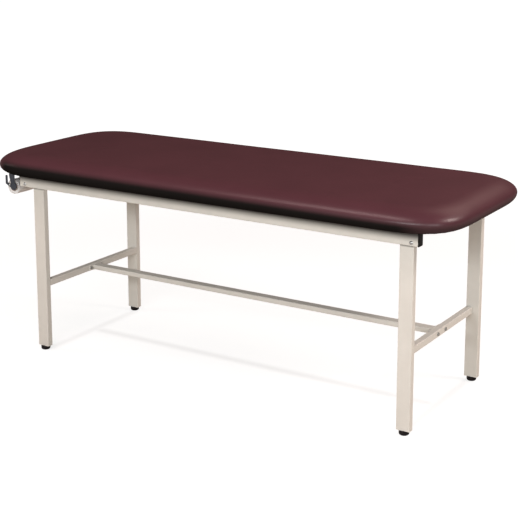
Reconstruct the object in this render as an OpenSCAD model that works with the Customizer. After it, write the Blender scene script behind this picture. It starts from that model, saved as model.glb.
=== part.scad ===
// Treatment table: a crowned, vinyl covered cushion on a welded steel tube frame.
// The origin is on the floor below the middle of the top, +X runs to the foot end,
// -Y is the front and +Z is up. The paper roll hangs under the head end.

/* [Cushioned top] */
// Length of the top
pad_l = 1981; // [1840:1:2100]
// Width of the top
pad_w = 762; // [740:1:800]
// Height of the cushion from its underside to the top of its crown
pad_h = 84.2; // [76:0.1:110]
// Height of the cushion's widest line above its underside
nose_h = 34; // [26:0.5:42]
// How far the upper edge rolls over, seen from above
top_roll = 93; // [60:1:130]
// Rise of the crown between the rolled edges
crown = 3; // [1:0.5:8]
// Size of the rounded corners in plan, measured at the widest line
pad_corner = 255; // [200:1:290]
// Squareness of the rounded corners, where 2 is a plain arc
corner_power = 3; // [2.4:0.1:3.6]
// Thickness of the vinyl cover and of the dust cover
skin_t = 1; // [0.8:0.1:2]
// Width of the cover's edge that is folded under the deck
flap_w = 8; // [5:0.5:9]
// Thickness of the plywood deck
deck_t = 19; // [15:0.5:25]
// Distance from the cushion's widest line in to the edge of the deck
deck_inset = 44; // [36:1:48]

/* [Frame] */
// How far the top reaches past the rails at each end
rail_inset = 135.5; // [115:0.5:150]
// Height of the side rail tube
rail_h = 50.8; // [44:0.2:60]
// Depth of the side rail tube, front to back
rail_d = 31.8; // [28:0.2:38]
// How far the top reaches past the frame at each side
frame_inset = 77; // [70:0.5:90]
// Distance from the head end of the rails in to the head legs
head_leg_inset = 68.5; // [55:0.5:90]
// Distance from the foot end of the rails in to the foot legs
foot_leg_inset = 14; // [0:0.5:16]
// Length of a leg with its end plate
leg_len = 640; // [560:1:720]
// Width of the leg tube, along the table
leg_w = 50.8; // [44:0.2:58]
// Depth of the leg tube, across the table
leg_d = 25.4; // [24:0.2:28]
// Side of the square tube of the cross stretchers
stretcher_s = 25.4; // [22:0.2:32]
// Height of the stretchers' middle above the floor
stretcher_z = 275.6; // [200:0.2:400]
// Width of the long stretcher tube
long_w = 38.1; // [30:0.1:44]
// Height of the long stretcher tube
long_h = 19; // [15:0.1:22]
// Width of the flat cross rails under the deck
cross_w = 50.8; // [44:0.2:60]
// Height of the flat cross rails under the deck
cross_h = 25.4; // [22:0.2:32]
// Wall of every tube
tube_wall = 1.6; // [1.2:0.1:2.4]
// Outside corner radius of every tube
tube_corner = 3; // [2.6:0.1:4]
// Thickness of the welded end plates
plate_t = 3.2; // [2.5:0.1:5]

/* [Feet and rail caps] */
// Height of a rubber foot
foot_h = 17; // [15:0.5:24]
// Diameter of a rubber foot
foot_d = 36; // [32:0.5:44]
// Radius of the foot's rounded lower edge
foot_round = 7; // [4:0.5:8]
// Thickness of a rail cap's flange
cap_t = 3.2; // [2.4:0.1:5]
// How far a rail cap's flange stands proud of the tube's sides and underside
cap_lip = 0.4; // [0.2:0.1:1]
// How deep a rail cap's plug reaches into the tube
plug_l = 15; // [12:0.5:17]
// Clearance between the plug and the inside of the tube
plug_fit = 0.2; // [0.1:0.05:0.4]

/* [Fasteners] */
// Diameter of the frame bolts
bolt_d = 6.35; // [5:0.05:7]
// Distance between the two bolts of an end plate
bolt_gap = 63.5; // [60:0.5:70]
// Width over the flats of the hexagon heads and nuts
hex_af = 11.1; // [10:0.1:12]
// Height of a hexagon head
hex_h = 4.2; // [3:0.1:5]
// Height of a nut
nut_h = 5.6; // [4:0.1:6.5]
// Width of the long stretcher's end plates
end_plate_w = 82; // [80:1:90]
// Height of the long stretcher's end plates
end_plate_h = 22; // [20:0.5:24]
// Distance of a rail bolt from the end of its rail
rail_bolt_inset = 24; // [22:0.5:30]
// Height of a rail bolt above the rail's underside
rail_bolt_z = 11.2; // [10:0.2:16]
// Diameter of a rail bolt's domed head
dome_d = 14.3; // [12:0.1:18]
// Height of a rail bolt's domed head
dome_h = 3.4; // [2:0.1:4]
// Width of the angles that hold the rails to the deck
angle_w = 38; // [34:0.5:44]
// Length of an angle's two legs
angle_l = 46; // [42:0.5:49]
// Diameter of the screws in the deck
screw_d = 4.2; // [3.5:0.1:5]
// Length of the screws in the deck
screw_l = 15; // [12:0.5:16]

/* [Paper roll] */
// Gap between the paper and the bracket at each end
paper_gap = 17.3; // [5:0.1:30]
// Outside diameter of the wound paper
paper_d = 61; // [48:0.5:64]
// Inside diameter of the cardboard core
core_d = 33; // [28:0.5:38]
// Wall of the cardboard core
core_t = 1.8; // [1.2:0.1:3]
// Diameter of the rod that carries the roll
rod_d = 8; // [6:0.1:10]
// How far the rod stands out of each bracket
rod_end = 4; // [2:0.5:8]
// Distance from each side of the top in to the bracket's outer face
hook_side = 94; // [90:0.5:98]
// Distance from the head end of the top in to the rod
hook_inset = 66.5; // [62:0.5:72]
// Depth of the rod's seat below the top's underside
hook_drop = 54.8; // [52:0.2:62]
// Thickness of the bracket's steel
hook_t = 3; // [2:0.1:4]
// Width of the bracket's hanging strip
strip_w = 27; // [24:0.5:32]
// Radius of the bracket's round lower end
hub_r = 16; // [14:0.5:18]
// Width of the hook's outer arm
arm_w = 9.6; // [7:0.1:10]
// Height of the arm's tip above the rod's seat
arm_h = 36.5; // [30:0.5:40]
// Lean of the slot that the rod slides in, away from upright
slot_lean = 14; // [12:0.5:16]
// Clearance of the rod across its slot
slot_fit = 1; // [0.6:0.1:1.4]
// Depth of the bracket's flange under the deck
flange_d = 18.5; // [17:0.5:19]

/* [Hidden] */
$fn = 64;

steel = "antiquewhite";
vinyl = [0.36, 0.19, 0.21];
zinc = "silver";
dark_steel = [0.36, 0.38, 0.44];

hole_fit = 0.2;      // radial clearance of a bolt or screw in its hole
thread_fit = 0.05;   // radial clearance between a thread and what it is screwed into
rest_gap = 0.3;      // gap of a loose piece above what it rests on
cross_gap = 4;       // gap between a cross rail and the rail angles beside it
flange_gap = 5;      // gap between a roll bracket's flange and the rail's cap

// Heights
rail_z = foot_h + leg_len;
under_z = rail_z + rail_h;
deck_z = under_z + skin_t;
deck_top = deck_z + deck_t;
nose_z = under_z + nose_h;

// Places along and across the table
rail_l = pad_l - 2 * rail_inset;
frame_w = pad_w - 2 * frame_inset;
rail_y = (frame_w - rail_d) / 2;
leg_y = (frame_w - leg_d) / 2;
head_leg_x = -rail_l / 2 + head_leg_inset + leg_w / 2;
foot_leg_x = rail_l / 2 - foot_leg_inset - leg_w / 2;
head_stretcher_x = head_leg_x + (leg_w - stretcher_s) / 2;
foot_stretcher_x = foot_leg_x - (leg_w - stretcher_s) / 2;
rail_bolt_x = rail_l / 2 - rail_bolt_inset;
cross_x = rail_bolt_x - angle_w / 2 - cross_gap - cross_w / 2;
leg_spots = [[head_leg_x, -leg_y], [head_leg_x, leg_y], [foot_leg_x, -leg_y], [foot_leg_x, leg_y]];

// The cushion is a stack of rings. Each ring runs round the top at one inset from the
// widest line, with corners that tighten as the inset grows.
corner_ease = 0.75;
corner_steps = 9;
top_h = pad_h - nose_h - crown;
roll_in = deck_inset - 1;
lower_angles = [90, 66, 44, 22, 0];
upper_angles = [18, 36, 54, 72, 90];
crown_steps = [0.3, 0.65, 1];
crown_in = 320;
crown_reach = min(crown_in, pad_w / 2 - 60);

function ring_corner(inset) = max(pad_corner - corner_ease * inset, 12);
function corner_point(a, r) = [r * pow(cos(a), 2 / corner_power), r * pow(sin(a), 2 / corner_power)];
function ring_2d(inset) =
    let (r = ring_corner(inset), cx = pad_l / 2 - inset - r, cy = pad_w / 2 - inset - r)
    [for (q = [0:3], i = [0:corner_steps])
        let (a = 90 * (q % 2 == 0 ? i : corner_steps - i) / corner_steps,
            p = corner_point(a, r),
            sx = (q == 0 || q == 3) ? 1 : -1,
            sy = q < 2 ? 1 : -1)
        [sx * (cx + p[0]), sy * (cy + p[1])]];
function ring_3d(inset, z) = [for (p = ring_2d(inset)) [p[0], p[1], z]];

// The cushion's section as insets and heights, for the cover's outer face at skin = 0
// and for its inner face, which is also the foam's, at skin = skin_t
function section(skin) = concat(
    [for (a = lower_angles) [skin + (roll_in - skin) * (1 - cos(a)), nose_z - (nose_h - skin) * sin(a)]],
    [for (a = upper_angles) [skin + (top_roll - skin) * (1 - cos(a)), nose_z + (top_h - skin) * sin(a)]],
    [for (s = crown_steps) [top_roll + s * (crown_reach - top_roll),
        nose_z + top_h - skin + crown * sin(90 * s)]]);

// A closed solid through rings that all have as many points, flat at the first and last
module ring_stack(rings) {
    n = len(rings[0]);
    m = len(rings);
    points = [for (r = rings) each r];
    sides = [for (j = [0:m - 2], i = [0:n - 1])
        let (a = j * n + i, b = j * n + (i + 1) % n)
        each [[a, a + n, b], [b, a + n, b + n]]];
    first_cap = [for (i = [1:n - 2]) [0, i, i + 1]];
    last_cap = [for (i = [1:n - 2]) [(m - 1) * n, (m - 1) * n + i + 1, (m - 1) * n + i]];
    polyhedron(points = points, faces = concat(first_cap, sides, last_cap), convexity = 6);
}

function reversed(list) = [for (i = [len(list) - 1:-1:0]) list[i]];

// Rounded rectangle of exact arcs, centred
module round_rect(w, h, r) {
    square([w - 2 * r, h], center = true);
    square([w, h - 2 * r], center = true);
    for (sx = [-1, 1], sy = [-1, 1])
        translate([sx * (w / 2 - r), sy * (h / 2 - r)]) circle(r, $fn = 32);
}

module tube_2d(w, h) {
    difference() {
        round_rect(w, h, tube_corner);
        round_rect(w - 2 * tube_wall, h - 2 * tube_wall, tube_corner - tube_wall);
    }
}

// Extrudes a YZ outline along X, centred, and an XZ outline from y = 0 towards +Y
module along_x(l) { rotate([90, 0, 90]) linear_extrude(l, center = true) children(); }
module along_y(l) { translate([0, l, 0]) rotate([90, 0, 0]) linear_extrude(l) children(); }

// Round bar between two points of an outline
module capsule_2d(p, q, w) {
    v = q - p;
    translate(p) rotate(atan2(v[1], v[0])) union() {
        circle(d = w, $fn = 48);
        translate([norm(v), 0]) circle(d = w, $fn = 48);
        translate([0, -w / 2]) square([norm(v), w]);
    }
}

// Cushioned top

angle_flange = angle_l - plate_t;
angle_screw_y = rail_y - rail_d / 2 - angle_l / 2 - 3;
angle_screw_gap = angle_w / 2;
cross_screw_y = 150;
hook_y = pad_w / 2 - hook_side;
paper_w = 2 * (hook_y - hook_t - paper_gap);
seat_x = -pad_l / 2 + hook_inset;
seat_z = under_z - hook_drop;
strip_x = seat_x - 4;
hook_screw_y = hook_y - flange_d + 6.5;
flange_l = -strip_x - rail_l / 2 - cap_t - flange_gap;
hook_screw_x = [strip_x + flange_l - 32, strip_x + flange_l - 12];

// Each deck screw: place, and the height of the face that its head bears on
deck_screw_spots = concat(
    [for (sy = [-1, 1], x = hook_screw_x) [x, sy * hook_screw_y, under_z - hook_t]],
    [for (sx = [-1, 1], sy = [-1, 1], s = [-0.5, 0.5])
        [sx * rail_bolt_x + s * angle_screw_gap, sy * angle_screw_y, under_z - plate_t]],
    [for (sx = [-1, 1], sy = [-1, 1]) [sx * cross_x, sy * cross_screw_y, under_z - tube_wall]]);

module deck_screw_holes(fit) {
    for (p = deck_screw_spots)
        translate([p[0], p[1], under_z - 1]) cylinder(d = screw_d + 2 * fit, h = p[2] + screw_l - under_z + 1.5);
}

module deck_board() {
    color("burlywood")
    difference() {
        translate([0, 0, deck_z]) linear_extrude(deck_t) polygon(ring_2d(deck_inset));
        deck_screw_holes(thread_fit);
    }
}

module foam_pad() {
    color("khaki")
    ring_stack(concat(
        [ring_3d(deck_inset - rest_gap, deck_top), ring_3d(deck_inset - rest_gap, deck_z)],
        [for (s = section(skin_t)) ring_3d(s[0], s[1])]));
}

module vinyl_cover() {
    flap_in = deck_inset + flap_w;
    color(vinyl)
    ring_stack(concat(
        [for (s = reversed(section(skin_t))) ring_3d(s[0], s[1])],
        [ring_3d(flap_in, deck_z), ring_3d(flap_in, under_z)],
        [for (s = section(0)) ring_3d(s[0], s[1])]));
}

module dust_cover() {
    color("black")
    difference() {
        translate([0, 0, under_z]) linear_extrude(skin_t) polygon(ring_2d(deck_inset + flap_w + rest_gap));
        deck_screw_holes(hole_fit);
    }
}

// Screw with a pan head, head down and its bearing face at z = 0
module pan_screw(d, l, head_d, head_h) {
    tip = d / 2;
    rotate_extrude() polygon([[0, -head_h], [head_d / 2 - 1, -head_h], [head_d / 2, -head_h + 1], [head_d / 2, 0],
        [d / 2, 0], [d / 2, l - tip], [0.6, l], [0, l]]);
}

module deck_screws() {
    color(zinc)
    for (p = deck_screw_spots) translate(p) pan_screw(screw_d, screw_l, 2 * screw_d, 2.6);
}

// Rails

module side_rail() {
    difference() {
        translate([0, 0, rail_z + rail_h / 2]) along_x(rail_l) tube_2d(rail_d, rail_h);
        for (sx = [-1, 1])
            translate([sx * rail_bolt_x, 0, rail_z + rail_bolt_z]) rotate([90, 0, 0])
                cylinder(d = bolt_d + 2 * hole_fit, h = 2 * rail_d, center = true);
    }
}

module front_rail() { color(steel) translate([0, -rail_y, 0]) side_rail(); }
module rear_rail() { color(steel) translate([0, rail_y, 0]) side_rail(); }

// Flat tube between the side rails, with holes for the screws and for their driver
module cross_rail() {
    z = under_z - cross_h;
    difference() {
        translate([0, 0, z + cross_h / 2]) rotate([0, 0, 90])
            along_x(2 * rail_y - rail_d) tube_2d(cross_w, cross_h);
        for (sy = [-1, 1]) translate([0, sy * cross_screw_y, 0]) {
            translate([0, 0, z - 1]) cylinder(d = 3 * screw_d, h = cross_h / 2);
            translate([0, 0, z + cross_h / 2]) cylinder(d = screw_d + 2 * hole_fit, h = cross_h);
        }
    }
}

module head_cross_rail() { color(steel) translate([-cross_x, 0, 0]) cross_rail(); }
module foot_cross_rail() { color(steel) translate([cross_x, 0, 0]) cross_rail(); }

// Cap for the rail's +X end: a chamfered flange, and a hollow plug with two gripping lips
module rail_cap() {
    plug_w = rail_d - 2 * tube_wall - 2 * plug_fit;
    plug_h = rail_h - 2 * tube_wall - 2 * plug_fit;
    plug_r = tube_corner - tube_wall;
    lip = plug_fit / 2;
    flange_w = rail_d + 2 * cap_lip;
    flange_h = rail_h + cap_lip;
    translate([0, 0, -cap_lip / 2]) intersection() {
        translate([cap_t / 2, 0, 0]) along_x(cap_t) round_rect(flange_w, flange_h, tube_corner + cap_lip);
        translate([0, -flange_w / 2, 0]) along_y(flange_w) flange_edge(flange_h / 2);
        translate([0, 0, -flange_h / 2]) linear_extrude(flange_h) flange_edge(flange_w / 2);
    }
    difference() {
        union() {
            translate([-plug_l / 2, 0, 0]) along_x(plug_l) round_rect(plug_w, plug_h, plug_r);
            for (x = [0.35, 0.75])
                translate([-x * plug_l, 0, 0]) along_x(1.2)
                    round_rect(plug_w + 2 * lip, plug_h + 2 * lip, plug_r + lip);
        }
        translate([-plug_l / 2 - 1, 0, 0]) along_x(plug_l)
            round_rect(plug_w - 4, plug_h - 4, 1);
    }
}

// Side outline of the cap's flange, chamfered at its outer edges
module flange_edge(half) {
    c = cap_t / 3;
    polygon([[0, -half], [cap_t - c, -half], [cap_t, c - half], [cap_t, half - c], [cap_t - c, half], [0, half]]);
}

module rail_caps() {
    color("dimgray")
    for (sy = [-1, 1], turn = [0, 180])
        rotate([0, 0, turn]) translate([rail_l / 2, sy * rail_y, rail_z + rail_h / 2]) rail_cap();
}

// Bent angle that bolts to the rail's inner face and screws to the deck. It is drawn for
// the rear rail: its upright leg's face is at y = 0, and its flange reaches towards -Y.
module rail_angle() {
    bend = 2 * plate_t;
    difference() {
        along_x(angle_w) difference() {
            translate([-angle_l, -angle_l]) square(angle_l);
            translate([-angle_l - 1, -angle_l - 1]) square([angle_l + 1 - bend, angle_l + 1 - plate_t]);
            translate([-angle_l - 1, -angle_l - 1]) square([angle_l + 1 - plate_t, angle_l + 1 - bend]);
            translate([-bend, -bend]) intersection() {
                circle(bend - plate_t);
                square(bend);
            }
            difference() {
                translate([-bend, -bend]) square(bend + 1);
                translate([-bend, -bend]) circle(bend);
            }
        }
        translate([0, 0, rail_z + rail_bolt_z - under_z]) rotate([90, 0, 0])
            cylinder(d = bolt_d + 2 * hole_fit, h = 4 * plate_t, center = true);
        for (s = [-0.5, 0.5])
            translate([s * angle_screw_gap, angle_screw_y - rail_y + rail_d / 2, 0])
                cylinder(d = screw_d + 2 * hole_fit, h = 4 * plate_t, center = true);
    }
}

module at_rail_bolts() {
    for (sx = [-1, 1], turn = [0, 180])
        rotate([0, 0, turn]) translate([sx * rail_bolt_x, rail_y, 0]) children();
}

module rail_angles() {
    color(steel) at_rail_bolts() translate([0, -rail_d / 2, under_z]) rail_angle();
}

// Bolt with a domed head. Its bearing face is at y = 0 and its shank runs towards -Y.
module domed_bolt(l) {
    dome_r = (pow(dome_d / 2, 2) + pow(dome_h, 2)) / (2 * dome_h);
    rotate([-90, 0, 0]) rotate_extrude() {
        translate([0, -l]) square([bolt_d / 2, l]);
        intersection() {
            translate([0, dome_h - dome_r]) circle(dome_r);
            square([dome_d / 2, dome_h]);
        }
    }
}

module rail_bolts() {
    color(zinc) at_rail_bolts() translate([0, rail_d / 2, rail_z + rail_bolt_z])
        domed_bolt(rail_d + plate_t + nut_h + 2);
}

// Hexagon nut with its bearing face at z = 0
module hex_nut() {
    difference() {
        cylinder(d = hex_af / cos(30), h = nut_h, $fn = 6);
        translate([0, 0, -1]) cylinder(d = bolt_d + 2 * thread_fit, h = nut_h + 2);
    }
}

module rail_nuts() {
    color(zinc) at_rail_bolts()
        translate([0, -rail_d / 2 - plate_t, rail_z + rail_bolt_z]) rotate([90, 0, 0]) hex_nut();
}

// Legs and feet

module leg() {
    translate([0, 0, foot_h + plate_t]) linear_extrude(leg_len - plate_t) tube_2d(leg_w, leg_d);
}

module head_front_leg() { color(steel) translate([head_leg_x, -leg_y, 0]) leg(); }
module head_rear_leg() { color(steel) translate([head_leg_x, leg_y, 0]) leg(); }
module foot_front_leg() { color(steel) translate([foot_leg_x, -leg_y, 0]) leg(); }
module foot_rear_leg() { color(steel) translate([foot_leg_x, leg_y, 0]) leg(); }

module leg_end_plates() {
    color(steel)
    for (p = leg_spots) translate([p[0], p[1], foot_h]) difference() {
        linear_extrude(plate_t) round_rect(leg_w, leg_d, tube_corner);
        translate([0, 0, -1]) cylinder(d = bolt_d + 2 * thread_fit, h = plate_t + 2);
    }
}

foot_screw_head = 4;
foot_web = 6;        // rubber between the screw's head and the leg

module foot() {
    r = foot_d / 2;
    difference() {
        rotate_extrude() {
            translate([0, foot_round]) square([r, foot_h - foot_round]);
            square([r - foot_round, foot_h]);
            translate([r - foot_round, foot_round]) circle(foot_round);
        }
        translate([0, 0, -1]) cylinder(d = bolt_d + 2 * hole_fit, h = foot_h + 2);
        translate([0, 0, -1]) cylinder(d = 2.2 * bolt_d, h = foot_h - foot_web + 1);
    }
}

module head_front_foot() { color("black") translate([head_leg_x, -leg_y, 0]) foot(); }
module head_rear_foot() { color("black") translate([head_leg_x, leg_y, 0]) foot(); }
module foot_front_foot() { color("black") translate([foot_leg_x, -leg_y, 0]) foot(); }
module foot_rear_foot() { color("black") translate([foot_leg_x, leg_y, 0]) foot(); }

module foot_screws() {
    color(zinc)
    for (p = leg_spots) translate([p[0], p[1], foot_h - foot_web])
        pan_screw(bolt_d, foot_web + plate_t + 8, 2 * bolt_d, foot_screw_head);
}

// Stretchers

module cross_stretcher() {
    difference() {
        translate([0, 0, stretcher_z]) rotate([0, 0, 90])
            along_x(2 * leg_y - leg_d) tube_2d(stretcher_s, stretcher_s);
        for (sy = [-1, 1])
            translate([0, sy * bolt_gap / 2, stretcher_z]) rotate([0, 90, 0])
                cylinder(d = bolt_d + 2 * hole_fit, h = 2 * stretcher_s, center = true);
    }
}

module head_stretcher() { color(steel) translate([head_stretcher_x, 0, 0]) cross_stretcher(); }
module foot_stretcher() { color(steel) translate([foot_stretcher_x, 0, 0]) cross_stretcher(); }

module long_stretcher() {
    x0 = head_stretcher_x + stretcher_s / 2 + plate_t;
    x1 = foot_stretcher_x - stretcher_s / 2 - plate_t;
    color(steel) translate([(x0 + x1) / 2, 0, stretcher_z]) along_x(x1 - x0) tube_2d(long_w, long_h);
}

module end_plate() {
    difference() {
        along_x(plate_t) round_rect(end_plate_w, end_plate_h, tube_corner);
        for (sy = [-1, 1])
            translate([0, sy * bolt_gap / 2, 0]) rotate([0, 90, 0])
                cylinder(d = bolt_d + 2 * hole_fit, h = 4 * plate_t, center = true);
    }
}

module head_end_plate() {
    color(steel) translate([head_stretcher_x + (stretcher_s + plate_t) / 2, 0, stretcher_z]) end_plate();
}

module foot_end_plate() {
    color(steel) translate([foot_stretcher_x - (stretcher_s + plate_t) / 2, 0, stretcher_z]) end_plate();
}

// Places what is drawn for the foot end at each bolt of both stretchers, with x = 0 on the
// stretcher's outer face and +X outwards
module at_stretcher_bolts() {
    for (sy = [-1, 1]) {
        translate([foot_stretcher_x + stretcher_s / 2, sy * bolt_gap / 2, stretcher_z]) children();
        translate([head_stretcher_x - stretcher_s / 2, sy * bolt_gap / 2, stretcher_z])
            rotate([0, 0, 180]) children();
    }
}

module stretcher_bolts() {
    shank = stretcher_s + plate_t + nut_h + 2;
    color(dark_steel) at_stretcher_bolts() {
        rotate([0, 90, 0]) cylinder(d = hex_af / cos(30), h = hex_h, $fn = 6);
        rotate([0, -90, 0]) cylinder(d = bolt_d, h = shank);
    }
}

module stretcher_nuts() {
    color(dark_steel) at_stretcher_bolts()
        translate([-stretcher_s - plate_t, 0, 0]) rotate([0, -90, 0]) hex_nut();
}

// Paper roll

slot_w = rod_d + slot_fit;
slot_dir = [-sin(slot_lean), cos(slot_lean)];
arm_x = strip_x - slot_w - arm_w / 2 - 1;
hub_at = [seat_x + hub_r, seat_z - 5];
hook_bend = 2 * hook_t;

// Outline of the hook: hanging strip, round lower end, outer arm and its leaning slot
module hook_2d() {
    seat = [seat_x, seat_z];
    elbow = [arm_x, seat_z + 4];
    difference() {
        union() {
            translate([strip_x, hub_at[1]]) square([strip_w, under_z - hook_bend - hub_at[1]]);
            translate(hub_at) circle(hub_r);
            capsule_2d(elbow, [arm_x, seat_z + arm_h - arm_w / 2], arm_w);
            capsule_2d(elbow, hub_at - [hub_r / 2, hub_r / 4], arm_w);
        }
        capsule_2d(seat, seat + 2 * hook_drop * slot_dir, slot_w);
    }
}

// The front bracket, with its outer face at y = 0
module roll_bracket() {
    difference() {
        union() {
            along_y(hook_t) hook_2d();
            translate([strip_x, hook_bend, under_z - hook_bend]) rotate([90, 0, 90])
                linear_extrude(strip_w) difference() {
                    intersection() {
                        circle(hook_bend);
                        translate([-hook_bend, 0]) square(hook_bend);
                    }
                    circle(hook_bend - hook_t);
                }
            translate([strip_x, hook_bend, under_z - hook_t]) cube([flange_l, flange_d - hook_bend, hook_t]);
        }
        for (x = hook_screw_x)
            translate([x, hook_y - hook_screw_y, under_z - 2 * hook_t])
                cylinder(d = screw_d + 2 * hole_fit, h = 3 * hook_t);
    }
}

module front_roll_bracket() { color(dark_steel) translate([0, -hook_y, 0]) roll_bracket(); }
module rear_roll_bracket() { color(dark_steel) mirror([0, 1, 0]) translate([0, -hook_y, 0]) roll_bracket(); }

// The rod lies at the bottom of its slots, and the roll hangs on it by its core
rod_drop = slot_fit / 2 - rest_gap;
rod_x = seat_x - rod_drop * slot_dir[0];
rod_z = seat_z - rod_drop * slot_dir[1];
roll_z = rod_z - (core_d - rod_d) / 2 + rest_gap;

module roll_rod() {
    half = hook_y + rod_end;
    r = rod_d / 2;
    color(zinc) translate([rod_x, 0, rod_z]) rotate([90, 0, 0])
        rotate_extrude() polygon([[0, -half], [r - 1, -half], [r, 1 - half], [r, half - 1], [r - 1, half], [0, half]]);
}

module hollow_roll(inner, outer) {
    translate([rod_x, 0, roll_z]) rotate([90, 0, 0]) difference() {
        cylinder(d = outer, h = paper_w, center = true, $fn = 96);
        cylinder(d = inner, h = paper_w + 2, center = true, $fn = 96);
    }
}

module roll_core() { color("tan") hollow_roll(core_d, core_d + 2 * core_t); }
module paper_roll() { color("white") hollow_roll(core_d + 2 * core_t, paper_d); }

deck_board();
foam_pad();
vinyl_cover();
dust_cover();
front_rail();
rear_rail();
head_cross_rail();
foot_cross_rail();
rail_caps();
rail_angles();
rail_bolts();
rail_nuts();
head_front_leg();
head_rear_leg();
foot_front_leg();
foot_rear_leg();
leg_end_plates();
head_stretcher();
foot_stretcher();
long_stretcher();
head_end_plate();
foot_end_plate();
stretcher_bolts();
stretcher_nuts();
head_front_foot();
head_rear_foot();
foot_front_foot();
foot_rear_foot();
foot_screws();
deck_screws();
front_roll_bracket();
rear_roll_bracket();
roll_rod();
roll_core();
paper_roll();
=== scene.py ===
import math
import random

import bmesh
import bpy
from mathutils import Euler, Matrix, Vector, noise


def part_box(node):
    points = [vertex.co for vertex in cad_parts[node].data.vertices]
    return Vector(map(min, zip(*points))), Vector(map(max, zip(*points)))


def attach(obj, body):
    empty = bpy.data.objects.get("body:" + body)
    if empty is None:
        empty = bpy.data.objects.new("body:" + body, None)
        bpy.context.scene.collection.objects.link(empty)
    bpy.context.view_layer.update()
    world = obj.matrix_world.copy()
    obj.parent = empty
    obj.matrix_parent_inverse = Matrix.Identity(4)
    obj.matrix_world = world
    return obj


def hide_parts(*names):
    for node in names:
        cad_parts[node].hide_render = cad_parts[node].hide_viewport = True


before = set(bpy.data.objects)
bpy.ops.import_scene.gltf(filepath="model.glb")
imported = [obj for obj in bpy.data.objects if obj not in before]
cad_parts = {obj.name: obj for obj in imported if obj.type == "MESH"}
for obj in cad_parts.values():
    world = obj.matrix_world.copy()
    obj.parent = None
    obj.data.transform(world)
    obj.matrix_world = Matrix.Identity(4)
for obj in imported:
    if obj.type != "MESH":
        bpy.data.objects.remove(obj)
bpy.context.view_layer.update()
scene = bpy.context.scene
bpy.ops.object.select_all(action="DESELECT")


# Camera, at the photograph's angle. The downward shift keeps the legs close to upright.
cameraSettings = {
    "place": (2.488, -3.896, 1.735),
    "turn": 31.91,
    "tilt": 11.21,
    "lens": 87.2,
    "shiftUp": -0.20,
}
bpy.ops.object.camera_add(
    location=cameraSettings["place"],
    rotation=(math.radians(90 - cameraSettings["tilt"]), 0, math.radians(cameraSettings["turn"])),
)
camera = bpy.context.object
camera.data.sensor_width = 36
camera.data.lens = cameraSettings["lens"]
camera.data.shift_y = cameraSettings["shiftUp"]
camera.data.clip_end = 200
scene.camera = camera
print("camera placed")


# Soft lamps: above the front edge, in front, above the foot end, beside each end, and two behind.
# Each has its place, aim, size, power in watts and colour.
lampSettings = {
    "above": ((-0.3, -1.5, 3.3), (0.2, -0.2, 0.7), (1.8, 0.8), 31, (1, 0.77, 0.75)),
    "front": ((1.0, -4.2, 2.1), (0, 0, 0.6), (3.2, 0.6), 100, (1, 1, 1)),
    "footTop": ((3.0, 0.9, 2.9), (0.85, -0.1, 0.6), (1.0, 1.0), 62, (1, 0.86, 0.80)),
    "footEnd": ((3.9, -2.5, 1.6), (0.3, 0.1, 0.4), (1.8, 1.8), 50, (1, 1, 1)),
    "headEnd": ((-3.6, -1.4, 1.5), (-0.8, 0, 0.5), (1.2, 1.2), 28, (1, 0.95, 0.88)),
    "behind": ((1.2, 3.0, 3.4), (0.1, 0, 0.4), (2.6, 2.0), 25, (1, 0.78, 0.67)),
    "sheen": ((0.5, 3.3, 2.8), (0.4, 0, 0.75), (1.8, 1.0), 3.5, (1, 0.58, 0.54)),
}
for lampName, (place, aim, size, power, colour) in lampSettings.items():
    bpy.ops.object.light_add(type="AREA", location=place)
    light = bpy.context.object
    light.name = lampName + "Lamp"
    light.data.shape = "RECTANGLE"
    light.data.size, light.data.size_y = size
    light.data.energy = power
    light.data.color = colour
    light.rotation_euler = (Vector(aim) - Vector(place)).to_track_quat("-Z", "Y").to_euler()
print("lamps placed")


# Helpers for node trees. An input is a number, a colour or another node's socket.
def setInput(tree, socket, value):
    if isinstance(value, bpy.types.NodeSocket):
        tree.links.new(value, socket)
    else:
        socket.default_value = value


def addNode(tree, kind, inputs=None):
    made = tree.nodes.new("ShaderNode" + kind)
    for name, value in (inputs or {}).items():
        setInput(tree, made.inputs[name], value)
    return made


def mathOn(tree, operation, *values):
    made = addNode(tree, "Math")
    made.operation = operation
    for socket, value in zip(made.inputs, values):
        setInput(tree, socket, value)
    return made.outputs[0]


def joinAll(tree, operation, values):
    whole = values[0]
    for value in values[1:]:
        whole = mathOn(tree, operation, whole, value)
    return whole


def spanOn(tree, value, low, high, fromLow=0.3, fromHigh=0.7, smooth=False):
    span = addNode(tree, "MapRange", {"Value": value, "From Min": fromLow, "From Max": fromHigh,
                                      "To Min": low, "To Max": high})
    if smooth:
        span.interpolation_type = "SMOOTHSTEP"
    return span.outputs["Result"]


def noiseOn(tree, place, scale, detail=3.0, stretch=None):
    if stretch:
        place = addNode(tree, "Mapping", {"Vector": place, "Scale": stretch}).outputs["Vector"]
    field = addNode(tree, "TexNoise", {"Vector": place, "Scale": scale, "Detail": detail, "Roughness": 0.55})
    return field.outputs["Fac"]


def rampOn(tree, factor, stops):
    ramp = addNode(tree, "ValToRGB", {"Fac": factor})
    while len(ramp.color_ramp.elements) < len(stops):
        ramp.color_ramp.elements.new(0.5)
    for element, (spot, colour) in zip(ramp.color_ramp.elements, stops):
        element.position = spot
        element.color = (*colour, 1)
    return ramp.outputs["Color"]


def partsOf(tree, place):
    return addNode(tree, "SeparateXYZ", {"Vector": place}).outputs


def leaningHeight(tree, parts, lean):
    # the height, rising a little along the table
    return mathOn(tree, "ADD", parts["Z"], mathOn(tree, "MULTIPLY", parts["X"], lean))


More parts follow.
